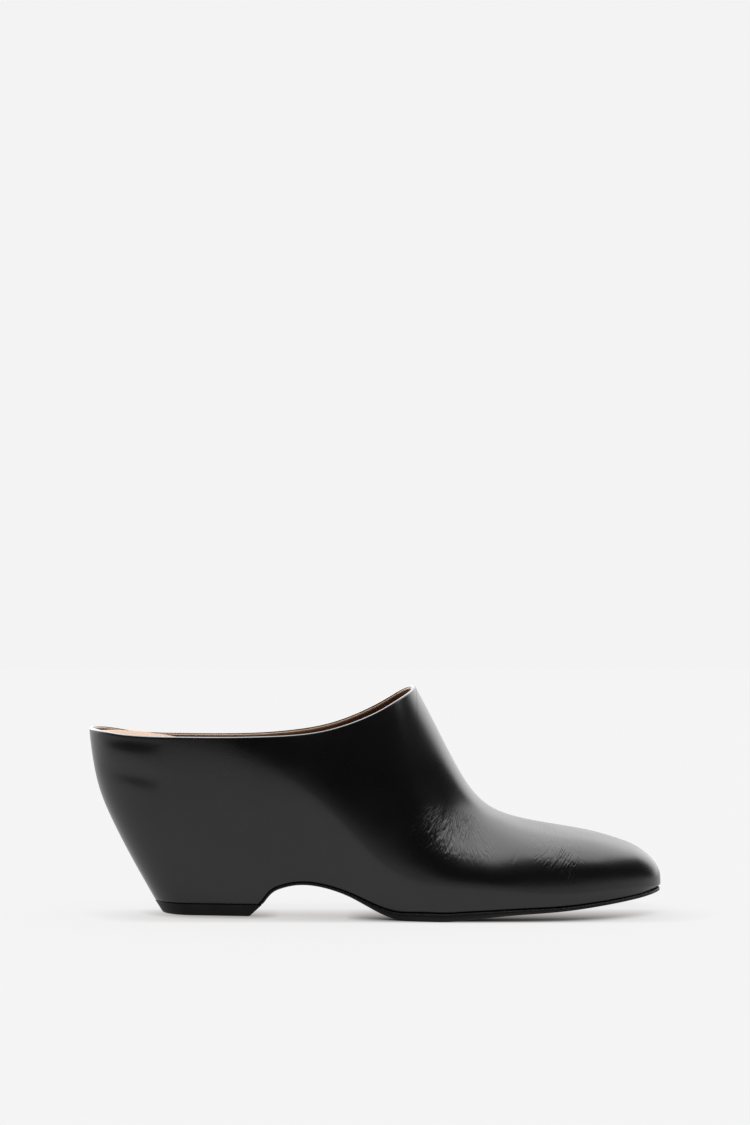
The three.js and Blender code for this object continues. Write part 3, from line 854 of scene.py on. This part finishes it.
FLOOR_OF_HEEL = TOP_PIECE_HEIGHT + GAP  # nothing of the sole reaches below this at the heel


def sole_start():
    """Station at which the sole's upper face rises clear of the lift."""
    low, high = -60.0, -40.0
    for _ in range(50):
        middle = (low + high) / 2
        under_lift = sole_top(middle) < FLOOR_OF_HEEL + 0.05
        low, high = (middle, high) if under_lift else (low, middle)
    return float(station_at(low))


def sole_ring(station):
    """Section of the sole, with a bevelled upper and a rounded lower edge on both sides."""
    lip = float(SOLE.lip(station))
    outer, inner = (skin(station, side, 0.0, -lip) for side in (-1, 1))
    x = outer[0]
    under, top = float(sole_under(x)), float(sole_top(x))
    reach = (inner[1] - outer[1]) / 4
    height = top - under
    # how far inwards, and at which share of the height
    edge = [
        (min(0.7, reach), 0.0), (min(0.28, reach), 0.06), (0.08, 0.2), (0.0, 0.42), (0.0, 0.6),
        (0.06, 0.74), (min(0.28, reach), 0.88), (min(0.6, reach), 0.97), (min(0.9, reach), 1.0),
    ]
    ring = [(x, outer[1] + draw, under + share * height) for draw, share in edge]
    ring += [(x, inner[1] - draw, under + share * height) for draw, share in reversed(edge)]
    ring = np.array(ring)
    if x < SHANK_X:
        ring[:, 2] = np.maximum(ring[:, 2], FLOOR_OF_HEEL)
    return ring


def make_outsole():
    """Thin sole with a bevelled upper edge, from the heel breast up the arch to the toe."""
    stations = np.concatenate([
        spaced(sole_start(), station_at(-22), 60),
        spaced(-22, 100, 130)[1:],
        spaced(100, TOE_X, 40, crowd_last)[1:],
    ])
    points, faces = swept([sole_ring(station) for station in stations], capped=True)
    material = black_rubber("sole_leather", 0.5, 0.008)
    return add_piece("outsole_sheet", points, faces, material, "outsole")


def lift_outline(inset, rake, front_x, z):
    """Outline of the lift at one height. rake draws its back forwards."""
    places = spaced(BACK_X + inset, float(station_at(front_x)), 48, crowd_first)
    outer, inner = (skin(places, side, 0.0, inset) for side in (-1, 1))
    outline = np.concatenate([outer[::-1], inner[1:]])
    x = outline[:, 0]
    outline[:, 0] = x + rake * (x.max() - x) / (x.max() - x.min())
    outline[:, 2] = z
    return outline


def make_lift():
    """Rubber lift under the wedge, with its edges eased."""
    # height of each outline, and how far its edge is eased there
    levels = [
        (0.0, 0.45), (0.12, 0.16), (0.4, 0.0), (2.5, 0.0), (TOP_PIECE_HEIGHT - 0.35, 0.0),
        (TOP_PIECE_HEIGHT - 0.1, 0.12), (TOP_PIECE_HEIGHT, 0.4),
    ]
    outlines = []
    for z, ease in levels:
        share = z / TOP_PIECE_HEIGHT
        front = lerp(LIFT_FRONT_BASE, LIFT_FRONT_TOP, share) - ease
        inset = LIFT_TAPER * (1 - share) + ease
        outlines.append(lift_outline(inset, LIFT_RAKE * (1 - share), front, z))
    points, faces = swept(outlines, capped=True)
    material = black_rubber("lift_rubber", 0.6, 0.006)
    return add_piece("heel_lift", points, faces, material, "top_piece")


# ---------------------------------------------------------------- studio
CAMERA_X, CAMERA_Y, CAMERA_Z = -0.1, -900.0, 120.0
FOCAL_HEIGHTS = 1.832  # focal length, in heights of the sensor
CAMERA_PITCH = 1.967  # degrees above level


def make_camera():
    """A long view of the outer side from a little above the collar, turned slightly upwards."""
    camera = bpy.data.cameras.new("camera")
    camera.sensor_fit = "VERTICAL"
    camera.sensor_height = 36.0
    camera.lens = FOCAL_HEIGHTS * camera.sensor_height
    camera.clip_start, camera.clip_end = 0.05, 100
    holder = bpy.data.objects.new("camera", camera)
    holder.location = (CAMERA_X * MM, CAMERA_Y * MM, CAMERA_Z * MM)
    holder.rotation_euler = (math.radians(90 + CAMERA_PITCH), 0, 0)
    bpy.context.scene.collection.objects.link(holder)
    bpy.context.scene.camera = holder


SKY = 1.776  # brightness that a white sheet on the floor gets from the studio light
BACKGROUND = 0.896  # brightness of the lit paper, and of the backdrop that the camera sees
PAPER_GLOW = 0.84  # the paper glows like a light table, which keeps the shadows pale; the shadow is painted into this glow
PAPER = (BACKGROUND - PAPER_GLOW) / SKY
SHADE_BEHIND, SHADE_FRONT, SHADE_END = 4.0, -30.0, -43.0  # the painted shadow gathers along the near side


def paper_glow_with_painted_shadow(tree):
    """Painted shadow in the paper's glow: darker where a piece stands close above the paper, only
    along the shoe's near side, and warm half way.
    """

    def open_above(reach):
        inputs = {"Distance": reach * MM, "Normal": (0.0, 0.6, 0.8)}
        return node(tree, "ShaderNodeAmbientOcclusion", inputs).outputs["AO"]

    y = node(tree, "ShaderNodeSeparateXYZ", {"Vector": object_point(tree)}).outputs["Y"]
    near_side = product(
        tree, map_range(tree, y, SHADE_BEHIND, SHADE_FRONT),
        map_range(tree, y, SHADE_FRONT - 6, SHADE_END, 1.0, 0.0),
    )
    wide = map_range(tree, open_above(30.0), 0.0, 1.0, 0.42, 1.0)
    covered = math_node(tree, "SUBTRACT", 1.0, product(tree, open_above(9.0), wide))
    painted_shade = math_node(tree, "MULTIPLY", covered, near_side)
    left = math_node(tree, "SUBTRACT", 1.0, painted_shade)
    return ramp(tree, left, [(0.0, grey(0.0)), (0.5, (0.51, 0.49, 0.48)), (1.0, grey(1.0))])


def make_floor():
    """White paper that glows like a light table, with the shoe's shadow painted into its glow. It
    ends a short way in front of the shoe.
    """
    left, right, front, back = -3.0, 3.0, -0.47, 6.0
    mesh = bpy.data.meshes.new("studio_floor")
    corners = [(left, front, 0), (right, front, 0), (right, back, 0), (left, back, 0)]
    mesh.from_pydata(corners, [], [(0, 1, 2, 3)])
    material, tree, shader = new_material("studio_paper", grey(PAPER), 0.9, specular=0.0)
    # painted shadow: the paper's glow is darkened under and beside the shoe
    tree.links.new(paper_glow_with_painted_shadow(tree), shader.inputs["Emission Color"])
    shader.inputs["Emission Strength"].default_value = PAPER_GLOW
    mesh.materials.append(material)
    floor = bpy.data.objects.new("studio_floor", mesh)
    bpy.context.scene.collection.objects.link(floor)


BACKDROP_TURN = math.radians(14)  # the backdrop's middle lies this far to the left
DARK_ROOM = 0.012  # brightness of the room outside the softbox and the backdrop


def make_world():
    """Studio light: a wide softbox overhead and behind, a bright backdrop, and dark in front. The
    camera itself sees an even pale backdrop."""
    world = bpy.data.worlds.new("studio")
    bpy.context.scene.world = world
    world.use_nodes = True
    tree = world.node_tree
    background = tree.nodes["Background"]
    background.inputs["Color"].default_value = (1, 1, 1, 1)
    way = node(tree, "ShaderNodeTexCoord").outputs["Generated"]
    x, y, z = node(tree, "ShaderNodeSeparateXYZ", {"Vector": way}).outputs

    def soft(value, low, high, bottom=0.0, top=1.0):
        return map_range(tree, value, low, high, bottom, top, "SMOOTHSTEP")

    # across and behind are places on a ceiling at height 1
    height = math_node(tree, "MAXIMUM", z, 0.05)
    across = math_node(tree, "DIVIDE", x, height)
    behind = math_node(tree, "DIVIDE", y, height)
    softbox = product(
        tree, soft(behind, -0.5, -0.25), soft(across, -0.75, -0.45),
        soft(across, 0.95, 1.2, 1.0, 0.0), soft(behind, 0.4, 1.1, 3.9, 2.7),
        soft(behind, 1.6, 2.2, 1.0, 0.0),
    )
    level = math_node(tree, "SUBTRACT", 1.0, math_node(tree, "MULTIPLY", z, z))
    level = math_node(tree, "MAXIMUM", math_node(tree, "SQRT", level), 0.01)
    towards = math_node(
        tree, "ADD", math_node(tree, "MULTIPLY", y, math.cos(BACKDROP_TURN)),
        math_node(tree, "MULTIPLY", x, -math.sin(BACKDROP_TURN)),
    )
    facing = math_node(tree, "DIVIDE", towards, level)
    backdrop = product(
        tree, soft(facing, 0.2, 0.55), soft(z, 0.1, 0.6, 1.2, 1.9),
        soft(x, -0.45, 0.05, 2.5, 1.0), soft(x, 0.0, 0.5, 1.0, 1.7),
    )
    light = math_node(tree, "ADD", math_node(tree, "MAXIMUM", softbox, backdrop), DARK_ROOM)
    seen = node(tree, "ShaderNodeLightPath").outputs["Is Camera Ray"]
    shown = {"Factor": seen, 2: light, 3: BACKGROUND}
    shown = node(tree, "ShaderNodeMix", shown, data_type="FLOAT").outputs[0]
    tree.links.new(shown, background.inputs["Strength"])


wall = build_wall()
make_upper(wall)
make_lining(wall)
make_insole()
make_outsole()
make_lift()
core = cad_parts["wedge_core"]
core.data.materials.clear()
core.data.materials.append(core_wood())  # the hidden core keeps its CAD shape
make_camera()
make_floor()
make_world()
bpy.context.scene.view_settings.view_transform = "Standard"
